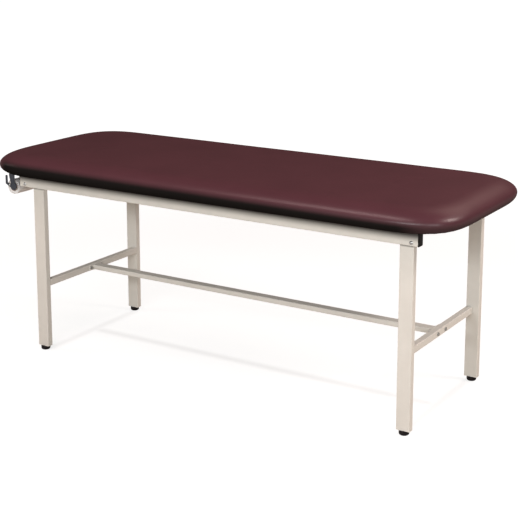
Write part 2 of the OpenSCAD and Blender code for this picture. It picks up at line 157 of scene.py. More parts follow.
def splitRays(tree, mirrored, unseen, seen, output):
    # Camera and transmission rays, and a share of the glossy ones, see one shader. The rest see the other.
    rays = addNode(tree, "LightPath").outputs
    glossy = mathOn(tree, "MULTIPLY", rays["Is Glossy Ray"], mirrored)
    share = joinAll(tree, "MAXIMUM", [rays["Is Camera Ray"], glossy, rays["Is Transmission Ray"]])
    split = addNode(tree, "MixShader", {"Fac": share})
    tree.links.new(unseen.outputs[0], split.inputs[1])
    tree.links.new(seen.outputs[0], split.inputs[2])
    tree.links.new(split.outputs[0], tree.nodes[output].inputs["Surface"])


worldSettings = {"seen": (1, 1, 1, 1), "ambient": (1, 0.87, 0.74, 1), "ambientLevel": 0.14, "mirrored": 0.0}
world = bpy.data.worlds.new("studio")
world.use_nodes = True
scene.world = world
worldTree = world.node_tree
ambient = worldTree.nodes["Background"]
ambient.inputs["Color"].default_value = worldSettings["ambient"]
ambient.inputs["Strength"].default_value = worldSettings["ambientLevel"]
backdrop = addNode(worldTree, "Background", {"Color": worldSettings["seen"], "Strength": 1})
splitRays(worldTree, worldSettings["mirrored"], ambient, backdrop, "World Output")

# The floor glows faintly for the camera, so the lamps bring it to white and shadows stay pale.
# What it sends back to the object is dim, so the underside stays dark.
floorSettings = {
    "size": 60, "nearGlow": 0.80, "farGlow": 1.0, "near": 1.7, "far": 4.5, "seenTone": 0.36,
    "mirrored": 0.4, "bounceColour": (0.52, 0.45, 0.37, 1), "shadowTone": 0.84, "shadowBlur": 0.024}
bpy.ops.mesh.primitive_plane_add(size=floorSettings["size"], location=(0, 0, 0))
floor = bpy.context.object
floor.name = "floor"
floorPaint = bpy.data.materials.new("floorPaint")
floorPaint.use_nodes = True
floorTree = floorPaint.node_tree
floorTree.nodes.remove(floorTree.nodes["Principled BSDF"])
floorPlace = addNode(floorTree, "TexCoord").outputs["Object"]
floorParts = partsOf(floorTree, floorPlace)
floorReach = addNode(floorTree, "VectorMath", {"Vector": floorPlace})
floorReach.operation = "LENGTH"
floorFade = spanOn(floorTree, floorReach.outputs["Value"], floorSettings["nearGlow"], floorSettings["farGlow"],
                   floorSettings["near"], floorSettings["far"], smooth=True)


def floorBar(low, high):
    # 1 on a bar of the floor, with soft edges
    blur = floorSettings["shadowBlur"]
    shares = []
    for axis in (0, 1):
        for edge, start, end in ((low[axis], 0, 1), (high[axis], 1, 0)):
            shares.append(spanOn(floorTree, floorParts[axis], start, end, edge - blur, edge + blur, smooth=True))
    return joinAll(floorTree, "MULTIPLY", shares)


# A faint soft shadow is painted into the floor's glow right under the three stretchers
under = joinAll(floorTree, "MAXIMUM", [floorBar(*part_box(bar + "_stretcher")) for bar in ("head", "foot", "long")])
shadow = spanOn(floorTree, under, 1, floorSettings["shadowTone"], 0, 1)
glowLevel = mathOn(floorTree, "MULTIPLY", floorFade, shadow)
glow = addNode(floorTree, "Emission", {"Color": (1, 1, 1, 1), "Strength": glowLevel})
paleFloor = addNode(floorTree, "BsdfDiffuse", {"Color": (*[floorSettings["seenTone"]] * 3, 1)})
dimFloor = addNode(floorTree, "BsdfDiffuse", {"Color": floorSettings["bounceColour"]})
seenFloor = addNode(floorTree, "AddShader")
floorTree.links.new(glow.outputs[0], seenFloor.inputs[0])
floorTree.links.new(paleFloor.outputs[0], seenFloor.inputs[1])
splitRays(floorTree, floorSettings["mirrored"], dimFloor, seenFloor, "Material Output")
floor.data.materials.append(floorPaint)
print("floor and backdrop made")


def middleOf(nodeName):
    low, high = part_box(nodeName)
    return (low + high) / 2


# Finishes. Each reads Object coordinates, so a pattern has the same size on every piece.
def startFinish(name, constants):
    finish = bpy.data.materials.new(name)
    finish.use_nodes = True
    tree = finish.node_tree
    for socketName, value in constants.items():
        tree.nodes["Principled BSDF"].inputs[socketName].default_value = value
    return finish, tree, addNode(tree, "TexCoord").outputs["Object"]


def twoTones(tree, factor, look, low=0.3, high=0.7):
    return rampOn(tree, factor, [(low, look["dark"]), (high, look["light"])])


def endFinish(finish, look, tone, worn, height):
    # the colour, a roughness that follows the wear, and a fine relief
    tree = finish.node_tree
    shader = tree.nodes["Principled BSDF"]
    tree.links.new(tone, shader.inputs["Base Color"])
    tree.links.new(spanOn(tree, worn, *look["rough"]), shader.inputs["Roughness"])
    relief = addNode(tree, "Bump", {"Height": height, "Strength": 1, "Distance": look["grainDepth"]})
    tree.links.new(relief.outputs["Normal"], shader.inputs["Normal"])
    return finish


def withPaintedShade(tree, place, tone, shade, seam):
    # Painted shade gathers close under the cushion, and a thin painted shadow where the legs' tops meet the rails
    parts = partsOf(tree, place)
    aboveSeam = spanOn(tree, parts["Z"], 1, seam["tone"], seam["height"] - seam["reach"], seam["height"], smooth=True)
    belowRail = mathOn(tree, "LESS_THAN", parts["Z"], seam["height"] + seam["slack"])
    seamShade = mathOn(tree, "SUBTRACT", 1, mathOn(tree, "MULTIPLY", belowRail, mathOn(tree, "SUBTRACT", 1, aboveSeam)))
    underTop = spanOn(tree, leaningHeight(tree, parts, shade["lean"]), 1, shade["tone"], shade["low"], shade["high"],
                      smooth=True)
    shaded = addNode(tree, "VectorMath", {"Vector": tone})
    shaded.operation = "SCALE"
    tree.links.new(mathOn(tree, "MULTIPLY", underTop, seamShade), shaded.inputs["Scale"])
    return shaded.outputs["Vector"]


def speckledFinish(name, look):
    # Patchy colour, a roughness that varies with it, and a fine grain
    finish, tree, place = startFinish(name, {"Metallic": look.get("metallic", 0.0),
                                             "Specular IOR Level": look.get("specular", 0.5)})
    patch = noiseOn(tree, place, look["patchScale"], 4.0, look.get("stretch"))
    tone = twoTones(tree, patch, look)
    if "shade" in look:
        tone = withPaintedShade(tree, place, tone, look["shade"], look["seam"])
    grain = noiseOn(tree, place, look["grainScale"], 2.0, look.get("stretch"))
    return endFinish(finish, look, tone, patch, grain)


framePaint = speckledFinish("framePaint", {
    "dark": (0.700, 0.684, 0.640), "light": (0.742, 0.726, 0.682), "patchScale": 14,
    "rough": (0.34, 0.44), "grainScale": 520, "grainDepth": 0.0001, "specular": 0.4,
    # painted shade on the rails' tops under the cushion, and a thin painted shadow on the legs' tops at the seam
    "shade": {"tone": 0.08, "low": 0.667, "high": 0.699, "lean": 0.001},
    "seam": {"tone": 0.45, "height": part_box("front_rail")[0].z, "reach": 0.006, "slack": 0.0004}})
bracketPaint = speckledFinish("bracketPaint", {
    "dark": (0.040, 0.046, 0.062), "light": (0.056, 0.063, 0.082), "patchScale": 60,
    "rough": (0.36, 0.5), "grainScale": 700, "grainDepth": 0.0002, "specular": 0.3})
blackPlastic = speckledFinish("blackPlastic", {
    "dark": (0.009, 0.008, 0.008), "light": (0.014, 0.012, 0.012), "patchScale": 90,
    "rough": (0.5, 0.62), "grainScale": 1500, "grainDepth": 0.00006, "specular": 0.06})
blackRubber = speckledFinish("blackRubber", {
    "dark": (0.010, 0.008, 0.009), "light": (0.020, 0.017, 0.018), "patchScale": 70,
    "rough": (0.62, 0.8), "grainScale": 1100, "grainDepth": 0.00012, "specular": 0.15})
zinc = speckledFinish("zinc", {
    "dark": (0.34, 0.34, 0.345), "light": (0.50, 0.50, 0.50), "patchScale": 120, "metallic": 1.0,
    "rough": (0.3, 0.42), "grainScale": 2200, "grainDepth": 0.00003})
darkZinc = speckledFinish("darkZinc", {
    "dark": (0.30, 0.30, 0.29), "light": (0.44, 0.44, 0.43), "patchScale": 150, "metallic": 1.0,
    "rough": (0.38, 0.52), "grainScale": 2200, "grainDepth": 0.00004})
platedRod = speckledFinish("platedRod", {
    "dark": (0.60, 0.61, 0.63), "light": (0.74, 0.75, 0.76), "patchScale": 18, "stretch": (1, 0.08, 1),
    "metallic": 1.0, "rough": (0.14, 0.26), "grainScale": 900, "grainDepth": 0.00001})


def vinylFinish(look):
    # Satin leathercloth with fine pores. Painted shade darkens it towards the lower edge, most above the rails, and
    # fades its coat there.
    finish, tree, place = startFinish("vinyl", {
        "Specular IOR Level": 0.0, "Coat Weight": look["coat"], "Coat Roughness": look["coatRoughness"],
        "Coat IOR": look["coatIor"]})
    patch = noiseOn(tree, place, look["patchScale"], 3.0)
    tone = twoTones(tree, patch, look)
    parts = partsOf(tree, place)
    paintedRollShade = spanOn(tree, parts["Z"], look["rollShadeTone"], 1, look["edgeLow"], look["edgeHigh"], smooth=True)
    leaning = leaningHeight(tree, parts, look["bandLean"])
    paintedRailShade = spanOn(tree, leaning, 0, 1, look["bandLow"], look["bandHigh"], smooth=True)
    headEnd = look["bandHead"] - look["headFade"]
    footEnd = look["bandFoot"] + look["footFade"]
    fromHead = spanOn(tree, parts["X"], 0, 1, headEnd, look["bandHead"], smooth=True)
    fromFoot = spanOn(tree, parts["X"], 1, 0, look["bandFoot"], footEnd, smooth=True)
    overRail = mathOn(tree, "MULTIPLY", fromHead, fromFoot)
    share = addNode(tree, "Mix", {"Factor": overRail, "A": paintedRollShade, "B": paintedRailShade}).outputs["Result"]
    shaded = addNode(tree, "VectorMath", {"Vector": tone})
    shaded.operation = "MULTIPLY"
    tree.links.new(rampOn(tree, share, [(0, look["railShadeTint"]), (1, (1, 1, 1))]), shaded.inputs[1])
    # the coat's reflection fades with the painted shade
    coat = tree.nodes["Principled BSDF"].inputs["Coat Weight"]
    tree.links.new(mathOn(tree, "MULTIPLY", share, look["coat"]), coat)
    pores = addNode(tree, "TexVoronoi", {"Vector": place, "Scale": look["poreScale"], "Randomness": 1.0})
    pores.feature = "DISTANCE_TO_EDGE"
    creases = noiseOn(tree, place, look["creaseScale"], 4.0)
    leather = mathOn(tree, "ADD", spanOn(tree, pores.outputs["Distance"], 0, 1, 0.0, look["poreEdge"]), creases)
    return endFinish(finish, look, shaded.outputs["Vector"], creases, leather)


vinyl = vinylFinish({
    "dark": (0.078, 0.0252, 0.0335), "light": (0.088, 0.0284, 0.0378), "patchScale": 5,
    "poreScale": 620, "poreEdge": 0.16, "creaseScale": 900, "grainDepth": 0.00008, "rough": (0.45, 0.6),
    "coat": 0.3, "coatIor": 2.0, "coatRoughness": 0.36,
    # the edge and band values place the painted shade on the lower roll, darkest above the rails
    "rollShadeTone": 0.4, "edgeLow": 0.722, "edgeHigh": 0.762,
    "railShadeTint": (0.145, 0.40, 0.29), "bandLow": 0.739, "bandHigh": 0.765, "bandLean": 0.009,
    "bandHead": -0.87, "headFade": 0.06, "bandFoot": 0.80, "footFade": 0.12})


def liningFinish(look):
    # Spun-bonded cloth: short fibres pressed at random, with rows of bonding dots
    finish, tree, place = startFinish("blackLining", {"Specular IOR Level": 0.05, "Sheen Weight": look["sheen"]})
    fibres = noiseOn(tree, place, look["fibreScale"], 5.0, (1, look["fibreStretch"], 1))
    crossing = noiseOn(tree, place, look["fibreScale"], 5.0, (look["fibreStretch"], 1, 1))
    cloth = mathOn(tree, "ADD", fibres, crossing)
    tone = twoTones(tree, mathOn(tree, "MULTIPLY", cloth, 0.5), look, 0.35, 0.65)
    dots = addNode(tree, "TexVoronoi", {"Vector": place, "Scale": look["dotScale"], "Randomness": 0.0})
    raised = mathOn(tree, "ADD", cloth, spanOn(tree, dots.outputs["Distance"], 0, 0.6, *look["dotEdge"]))
    return endFinish(finish, look, tone, fibres, raised)


blackLining = liningFinish({
    "dark": (0.006, 0.006, 0.006), "light": (0.016, 0.016, 0.016), "fibreScale": 900, "fibreStretch": 0.25,
    "dotScale": 330, "dotEdge": (0.15, 0.35), "rough": (0.8, 0.95), "grainDepth": 0.00015, "sheen": 0.05})


def paperFinish(look):
    finish, tree, place = startFinish("paper", {"Specular IOR Level": 0.2})
    fibres = noiseOn(tree, place, look["fibreScale"], 5.0)
    crepe = noiseOn(tree, place, look["crepeScale"], 3.0, look["crepeStretch"])
    return endFinish(finish, look, twoTones(tree, fibres, look), fibres, mathOn(tree, "ADD", fibres, crepe))


paper = paperFinish({
    "dark": (0.84, 0.84, 0.85), "light": (0.90, 0.90, 0.91), "fibreScale": 800,
    "crepeScale": 420, "crepeStretch": (1, 0.12, 1), "rough": (0.75, 0.9), "grainDepth": 0.00012})


def cardboardFinish(look):
    # Grey-brown board, wound in a spiral with a seam each pitch
    finish, tree, place = startFinish("cardboard", {"Specular IOR Level": 0.15})
    centred = addNode(tree, "Mapping", {"Vector": place, "Location": look["axis"]}).outputs["Vector"]
    parts = partsOf(tree, centred)
    turn = mathOn(tree, "DIVIDE", mathOn(tree, "ARCTAN2", parts["Z"], parts["X"]), 2 * math.pi)
    along = mathOn(tree, "DIVIDE", parts["Y"], look["pitch"])
    wound = mathOn(tree, "FRACT", mathOn(tree, "ADD", turn, along))
    fibres = noiseOn(tree, place, look["fibreScale"], 5.0)
    height = mathOn(tree, "SUBTRACT", fibres, spanOn(tree, wound, look["seamDepth"], 0, 0.0, look["seamWidth"]))
    tone = rampOn(tree, height, [(0.1, look["seam"]), (0.35, look["dark"]), (0.7, look["light"])])
    return endFinish(finish, look, tone, fibres, height)


rollAxis = middleOf("roll_core")
cardboard = cardboardFinish({
    "axis": (-rollAxis.x, 0, -rollAxis.z), "pitch": 0.09, "seam": (0.22, 0.17, 0.15), "seamDepth": 0.45,
    "seamWidth": 0.03, "dark": (0.42, 0.34, 0.31), "light": (0.52, 0.43, 0.40), "fibreScale": 700,
    "rough": (0.8, 0.92), "grainDepth": 0.0001})


def plywoodFinish(look):
    finish, tree, place = startFinish("plywood", {"Specular IOR Level": 0.25})
    grain = noiseOn(tree, place, look["grainScale"], 6.0, look["grainStretch"])
    plies = addNode(tree, "TexWave", {"Vector": place, "Scale": look["plyScale"], "Distortion": 1.5})
    plies.bands_direction = "Z"
    streaks = mathOn(tree, "MULTIPLY", plies.outputs["Fac"], look["plyShare"])
    mixed = mathOn(tree, "ADD", mathOn(tree, "MULTIPLY", grain, 1 - look["plyShare"]), streaks)
    return endFinish(finish, look, twoTones(tree, mixed, look, 0.25, 0.75), grain, grain)


plywood = plywoodFinish({
    "dark": (0.40, 0.25, 0.13), "light": (0.62, 0.44, 0.26), "grainScale": 60, "grainStretch": (0.06, 1, 1),
    "plyScale": 50, "plyShare": 0.3, "rough": (0.6, 0.8), "grainDepth": 0.0002})
print("finishes made")

# Every CAD node takes its finish, also where a finished piece replaces it below
legNames = ["head_front_leg", "head_rear_leg", "foot_front_leg", "foot_rear_leg"]
footNames = {"headFrontFoot": "head_front_foot", "headRearFoot": "head_rear_foot",
             "footFrontFoot": "foot_front_foot", "footRearFoot": "foot_rear_foot"}
carriedFinish = {
    framePaint: [*legNames, "front_rail", "rear_rail", "head_cross_rail", "foot_cross_rail", "rail_angles",
                 "leg_end_plates", "head_stretcher", "foot_stretcher", "long_stretcher", "head_end_plate",
                 "foot_end_plate"],
    bracketPaint: ["front_roll_bracket", "rear_roll_bracket"],
    zinc: ["rail_nuts", "rail_bolts", "deck_screws", "foot_screws"],
    darkZinc: ["stretcher_bolts", "stretcher_nuts"],
    platedRod: ["roll_rod"],
    plywood: ["deck_board"],
    blackPlastic: ["rail_caps"],
    blackRubber: [*footNames.values()],
    cardboard: ["roll_core"],
    paper: ["paper_roll"],
    blackLining: ["dust_cover"],
    vinyl: ["vinyl_cover", "foam_pad"],
}
for finish, names in carriedFinish.items():
    for name in names:
        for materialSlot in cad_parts[name].material_slots:
            materialSlot.material = finish
print("finishes set on the CAD nodes")


# Helpers for modelling
def setMode(name):
    bpy.ops.object.mode_set(mode=name)


def choose(*pieces):
    # Leaves edit mode with only these pieces selected and the first one active
    if bpy.context.mode != "OBJECT":
        setMode("OBJECT")
    bpy.ops.object.select_all(action="DESELECT")
    for piece in pieces:
        piece.select_set(True)
    bpy.context.view_layer.objects.active = pieces[0]


def applyPlace():
    bpy.ops.object.transform_apply(location=True, rotation=True, scale=True)


def startShaping(name):
    # Names a fresh primitive, puts its place in its mesh and opens it
    piece = bpy.context.object
    piece.name = name
    applyPlace()
    setMode("EDIT")
    bpy.ops.mesh.select_all(action="SELECT")
    return piece


def startCube(name, low, high):
    low, high = Vector(low), Vector(high)
    bpy.ops.mesh.primitive_cube_add(size=1, location=(low + high) / 2, scale=high - low)
    return startShaping(name)


def startRod(name, radius, low, high, sides):
    middle = (0, 0, (low + high) / 2)
    bpy.ops.mesh.primitive_cylinder_add(vertices=sides, radius=radius, depth=high - low, location=middle)
    return startShaping(name)


def pick(piece, rule, kind="FACE"):
    # Selects in edit mode what the rule says yes to, from a face or edge
    mesh = bmesh.from_edit_mesh(piece.data)
    bpy.ops.mesh.select_mode(type=kind)
    bpy.ops.mesh.select_all(action="DESELECT")
    for part in filter(rule, mesh.faces if kind == "FACE" else mesh.edges):
        part.select_set(True)
    mesh.select_flush_mode()
    bmesh.update_edit_mesh(piece.data)


def pickFacing(piece, direction):
    pick(piece, lambda face: face.normal.dot(Vector(direction)) > 0.99)


def pickRim(piece, level, radius=None):
    # Selects the edges that lie flat at a height, round the Z axis at a radius if one is given
    pick(piece, lambda edge: all(
        abs(vert.co.z - level) < 0.00002 and (radius is None or abs(vert.co.xy.length - radius) < 0.0001)
        for vert in edge.verts), "EDGE")


def push(x=0.0, z=0.0):
    bpy.ops.mesh.extrude_region_move(TRANSFORM_OT_translate={"value": (x, 0, z)})


def insetBy(thickness):
    bpy.ops.mesh.inset(thickness=thickness, use_even_offset=False)


def widen(size):
    bpy.ops.transform.resize(value=(size, size, 1))


def applyModifier(piece, modifier):
    bpy.context.view_layer.objects.active = piece
    bpy.ops.object.modifier_apply(modifier=modifier.name)


def thicken(piece, thickness):
    thick = piece.modifiers.new("thick", "SOLIDIFY")
    thick.thickness = thickness
    thick.offset = 0
    applyModifier(piece, thick)


def cutWith(piece, cutter, operation):
    # Boolean with a second shape, which is then deleted
    choose(piece)
    cut = piece.modifiers.new("cut", "BOOLEAN")
    cut.operation = operation
    cut.solver = "EXACT"
    cut.object = cutter
    applyModifier(piece, cut)
    bpy.data.objects.remove(cutter)


def joined(pieces, name):
    choose(*pieces)
    applyPlace()
    if len(pieces) > 1:
        bpy.ops.object.join()
    pieces[0].name = name
    return pieces[0]


def placed(spot, turn=(0, 0, 0)):
    # The turn is in degrees about X, Y and Z
    return Matrix.Translation(spot) @ Euler([math.radians(angle) for angle in turn]).to_matrix().to_4x4()


def placeCopies(pattern, name, places):
    # One joined piece from copies of the pattern, each with its own mesh
    copies = []
    for place in places:
        copy = pattern.copy()
        copy.data = pattern.data.copy()
        scene.collection.objects.link(copy)
        copy.matrix_world = place
        copies.append(copy)
    return joined(copies, name)


def dress(piece, finish, body="frame", replaced=(), smoothAngle=30):
    # Turns a finished piece's faces outwards, smooths it and hands it over to its body
    choose(piece)
    applyPlace()
    setMode("EDIT")
    bpy.ops.mesh.select_all(action="SELECT")
    bpy.ops.mesh.normals_make_consistent(inside=False)
    setMode("OBJECT")
    bpy.ops.object.shade_smooth_by_angle(angle=math.radians(smoothAngle))
    piece.data.materials.clear()
    piece.data.materials.append(finish)
    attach(piece, body)
    if replaced:
        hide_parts(*replaced)
    bpy.ops.object.select_all(action="DESELECT")


# Cushion: the vinyl cover over its foam, as rings that run round the top from the edge
# under the deck, over the rolled side, to the middle of the crown
coverLow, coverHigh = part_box("vinyl_cover")
cushionForm = {
    "length": coverHigh.x - coverLow.x,
    "width": coverHigh.y - coverLow.y,
    "underside": coverLow.z,
    "noseRise": 0.034,        # height of the widest line
    "height": coverHigh.z - coverLow.z,
    "topRoll": 0.093,         # how far the upper edge rolls over
    "crown": 0.003,
    "crownReach": 0.320,
    "corner": 0.255,          # corner size at the widest line
    "cornerEase": 0.75,
    "smallestCorner": 0.012,
    "squareness": 3,
    "deckInset": 0.044,
    "rollInset": 0.043,       # where the lower roll ends
    "flap": 0.008,            # edge folded under the deck
    "turnUp": 0.001,
    "foamInset": 0.0437,      # the foam that closes the cushion
    "foamRise": 0.0195,
    "cornerSteps": 34,
    "longSteps": 132,
    "shortSteps": 22,
    "lowerSteps": 7,
    "upperSteps": 13,
    "topStep": 0.0105,
    "lastInset": 0.366,
}
clothSettings = {
    "startShort": 0.0006, "frames": 20, "cap": 0.0042, "pinBelow": 0.0006, "foamHold": 0.25,
    "cloth": {"quality": 5, "mass": 0.35, "tension_stiffness": 18, "compression_stiffness": 18,
              "bending_stiffness": 0.6, "use_pressure": True, "uniform_pressure_force": 4.0}}
unevenSettings = {"scale": 4.5, "height": 0.0006, "start": 0.004, "fade": 0.03}
# bracket is where a roll bracket sits: below an x, and between two distances from the middle line
pleatSettings = {"perCorner": 11, "depth": 0.0012, "reach": 0.006, "bracket": (-0.85, 0.25, 0.31)}


def underBracket(x, y, zone):
    return x < zone[0] and zone[1] < abs(y) < zone[2]


def ringOutline(inset, form):
    corner = max(form["corner"] - form["cornerEase"] * inset, form["smallestCorner"])
    middleX = form["length"] / 2 - inset - corner
    middleY = form["width"] / 2 - inset - corner
    power = form["squareness"]
    arc = []
    for step in range(form["cornerSteps"] + 1):
        angle = math.radians(90 * step / form["cornerSteps"])
        reach = corner / (math.cos(angle) ** power + math.sin(angle) ** power) ** (1 / power)
        arc.append((reach * math.cos(angle), reach * math.sin(angle)))
    outline = []
    for quarter in range(4):
        signX = 1 if quarter in (0, 3) else -1
        signY = 1 if quarter < 2 else -1
        points = arc if quarter % 2 == 0 else arc[::-1]
        outline += [(signX * (middleX + x), signY * (middleY + y)) for x, y in points]
        # the straight run to the next corner
        runs = form["longSteps"] if quarter % 2 == 0 else form["shortSteps"]
        startX, startY = outline[-1]
        endX, endY = (-startX, startY) if quarter % 2 == 0 else (startX, -startY)
        for step in range(1, runs):
            share = step / runs
            outline.append((startX + share * (endX - startX), startY + share * (endY - startY)))
    return outline


def cushionRings(form, short):
    # Each ring's inset from the widest line and its height. short makes the form smaller for the cloth.
    underside = form["underside"]
    nose = underside + form["noseRise"]
    topRise = form["height"] - form["noseRise"] - form["crown"]
    topRoll = form["topRoll"]
    rings = [(form["deckInset"] + form["flap"], underside), (form["deckInset"] + form["flap"] / 2, underside)]
    for step in range(form["lowerSteps"] + 1):
        angle = math.radians(90 * (1 - step / form["lowerSteps"]))
        less = short * math.cos(angle)
        rings.append((less + (form["rollInset"] - less) * (1 - math.cos(angle)),
                      nose - (form["noseRise"] - less * math.cos(angle)) * math.sin(angle)))
    for step in range(1, form["upperSteps"] + 1):
        angle = math.radians(90 * step / form["upperSteps"])
        rings.append((short + (topRoll - short) * (1 - math.cos(angle)), nose + (topRise - short) * math.sin(angle)))
    steps = round((form["lastInset"] - topRoll) / form["topStep"])
    for step in range(1, steps + 1):
        inset = topRoll + (form["lastInset"] - topRoll) * step / steps
        share = min((inset - topRoll) / (form["crownReach"] - topRoll), 1)
        rings.append((inset, nose + topRise - short + form["crown"] * math.sin(math.radians(90 * share))))
    return rings


def placeSelected(piece, outline, height):
    # Puts the selected loop of points on an outline. The loop keeps its order from ring to ring.
    mesh = bmesh.from_edit_mesh(piece.data)
    loop = [vert for vert in mesh.verts if vert.select]
    for vert, (x, y) in zip(loop, outline):
        vert.co = (x, y, height)
    bmesh.update_edit_mesh(piece.data)


def buildShell(name, form, rings):
    outlines = [ringOutline(inset, form) for inset, height in rings]
    heights = [height for inset, height in rings]
    # the last ring closes on the middle line
    outlines.append([(x, 0) for x, y in outlines[-1]])
    heights.append(heights[-1])
    bpy.ops.mesh.primitive_circle_add(vertices=len(outlines[0]), radius=0.5, fill_type="NOTHING")
    piece = startShaping(name)
    bpy.ops.mesh.select_mode(type="VERT")
    bpy.ops.mesh.select_all(action="SELECT")
    for number, (outline, height) in enumerate(zip(outlines, heights)):
        if number:
            bpy.ops.mesh.extrude_region_move()
        placeSelected(piece, outline, height)
    bpy.ops.mesh.select_all(action="SELECT")
    bpy.ops.mesh.remove_doubles(threshold=0.00005)
    bpy.ops.mesh.normals_make_consistent(inside=False)
    setMode("OBJECT")
    return piece


def swell(piece, form, cloth):
    # The cover swells off its foam under a light pressure, held fast at the deck's edge and
    # lightly by the foam everywhere else
    start = [vert.co.copy() for vert in piece.data.vertices]
    held = piece.vertex_groups.new(name="held")
    for vert in piece.data.vertices:
        atDeck = vert.co.z < form["underside"] + cloth["pinBelow"]
        held.add([vert.index], 1.0 if atDeck else cloth["foamHold"], "REPLACE")
    modifier = piece.modifiers.new("swell", "CLOTH")
    for name, value in cloth["cloth"].items():
        setattr(modifier.settings, name, value)
    modifier.settings.vertex_group_mass = "held"
    modifier.settings.effector_weights.gravity = 0
    modifier.point_cache.frame_start = 1
    modifier.point_cache.frame_end = cloth["frames"]
    for number in range(1, cloth["frames"] + 1):
        scene.frame_set(number)
    applyModifier(piece, modifier)
    piece.vertex_groups.clear()
    for vert, home in zip(piece.data.vertices, start):
        move = vert.co - home
        if move.length > 1e-7:
            vert.co = home + move.normalized() * cloth["cap"] * math.tanh(move.length / cloth["cap"])
    scene.frame_set(1)


def gatherPleats(piece, form, pleats, uneven):
    # Faint hand-made unevenness above, and pleats gathered under each corner
    cornerX = form["length"] / 2 - form["corner"]
    cornerY = form["width"] / 2 - form["corner"]
    for vert in piece.data.vertices:
        x, y = abs(vert.co.x), abs(vert.co.y)
        rise = vert.co.z - form["underside"]
        if rise > uneven["start"]:
            fade = min((rise - uneven["start"]) / uneven["fade"], 1)
            vert.co.z += uneven["height"] * fade * noise.noise(vert.co * uneven["scale"])
        atCorner = rise < pleats["reach"] and x > cornerX and y > cornerY
        if atCorner and not underBracket(vert.co.x, y, pleats["bracket"]):
            angle = math.atan2(y - cornerY, x - cornerX)
            fade = math.sin(2 * angle) * (1 - rise / pleats["reach"])
            fold = 0.5 - 0.5 * math.cos(4 * angle * pleats["perCorner"])
            vert.co.z -= pleats["depth"] * fade * fold ** 3


def makeCushion(form, cloth, pleats, uneven):
    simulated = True
    piece = buildShell("cushion", form, cushionRings(form, cloth["startShort"] if simulated else 0.0))
    print("cushion laid out,", len(piece.data.vertices), "points")
    if simulated:
        swell(piece, form, cloth)
        print("cushion swollen")
    subdivide = piece.modifiers.new("smooth", "SUBSURF")
    subdivide.levels = 1
    subdivide.render_levels = 1
    applyModifier(piece, subdivide)
    gatherPleats(piece, form, pleats, uneven)

    # the cover's edge turns up against the deck and the foam closes over it
    setMode("EDIT")
    bpy.ops.mesh.select_mode(type="EDGE")
    bpy.ops.mesh.select_all(action="DESELECT")
    bpy.ops.mesh.select_non_manifold()
    push(z=form["turnUp"])
    bpy.ops.mesh.extrude_region_move()
    flapInset = form["deckInset"] + form["flap"]
    out = flapInset - form["foamInset"]
    grow = [1 + 2 * out / (form[side] - 2 * flapInset) for side in ("length", "width")]
    bpy.ops.transform.resize(value=(*grow, 1), center_override=(0, 0, form["underside"]))
    push(z=form["foamRise"])
    bpy.ops.mesh.edge_face_add()
    setMode("OBJECT")
    dress(piece, vinyl, replaced=("vinyl_cover", "foam_pad"), smoothAngle=50)
    return piece


cushion = makeCushion(cushionForm, clothSettings, pleatSettings, unevenSettings)
print("cushion made,", len(cushion.data.polygons), "faces")


# Rubber feet: rounded below, three fine grip grooves, and a recess for the screw's head
footLow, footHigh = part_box("head_front_foot")
footSettings = {
    "radius": (footHigh.x - footLow.x) / 2, "height": footHigh.z, "lowerRound": 0.007, "upperRound": 0.001,
    "recess": 0.007, "recessDepth": 0.011, "hole": 0.0034, "sides": 72,
    "grooves": 3, "grooveDepth": 0.0005, "grooveSlope": 0.0003}


def makeFoot(look):
    foot = startRod("footPattern", look["radius"], 0, look["height"], look["sides"])
    pickFacing(foot, (0, 0, -1))
    insetBy(look["radius"] - look["recess"])
    push(z=look["recessDepth"])
    insetBy(look["recess"] - look["hole"])
    top = look["height"] - 0.0001
    pick(foot, lambda face: len(face.verts) == look["sides"] and face.calc_center_median().z > top)
    insetBy(look["radius"] - look["hole"])
    pick(foot, lambda face: len(face.verts) == look["sides"])
    bpy.ops.mesh.bridge_edge_loops()
    pickRim(foot, 0, look["radius"])
    bpy.ops.mesh.bevel(offset=look["lowerRound"], segments=7)
    pickRim(foot, look["height"], look["radius"])
    bpy.ops.mesh.bevel(offset=look["upperRound"], segments=2)
    # the plain band between the two rounds is split, and every other strip pressed in
    strips = 2 * look["grooves"] + 1
    pick(foot, lambda edge: abs(edge.verts[0].co.z - edge.verts[1].co.z) > look["height"] / 2
         and all(vert.co.xy.length > look["radius"] - 0.0001 for vert in edge.verts), "EDGE")
    bpy.ops.mesh.subdivide(number_cuts=strips - 1)
    bottom, top = look["lowerRound"], look["height"] - look["upperRound"]
    for number in range(look["grooves"]):
        low, high = [bottom + (top - bottom) * (2 * number + edge) / strips for edge in (1, 2)]
        pick(foot, lambda face: low < face.calc_center_median().z < high
             and face.calc_center_median().xy.length > look["radius"] * 0.98)
        bpy.ops.mesh.inset(thickness=look["grooveSlope"], depth=-look["grooveDepth"])
    setMode("OBJECT")
    return foot


footPattern = makeFoot(footSettings)
footSpots = []
for pieceName, nodeName in footNames.items():
    middle = middleOf(nodeName)
    footSpots.append((middle.x, middle.y))
    foot = placeCopies(footPattern, pieceName, [placed((*footSpots[-1], footLow.z))])
    dress(foot, blackRubber, replaced=(nodeName,))
print("feet made")


# Rail caps: a flange with softened edges and a hollow plug that grips inside the tube
railLow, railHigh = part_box("front_rail")
capsLow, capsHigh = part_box("rail_caps")
capSettings = {
    "flange": capsHigh.x - railHigh.x, "overhang": 0.0004, "low": capsLow.z, "high": capsHigh.z,
    "corner": 0.0034, "edge": 0.0011, "wallGap": 0.0018, "plugWall": 0.002, "hollow": 0.014,
    "plugSteps": (0.0035, 0.0012, 0.0048, 0.0012, 0.0043), "ribHeight": 0.0001}     # every other step is a rib


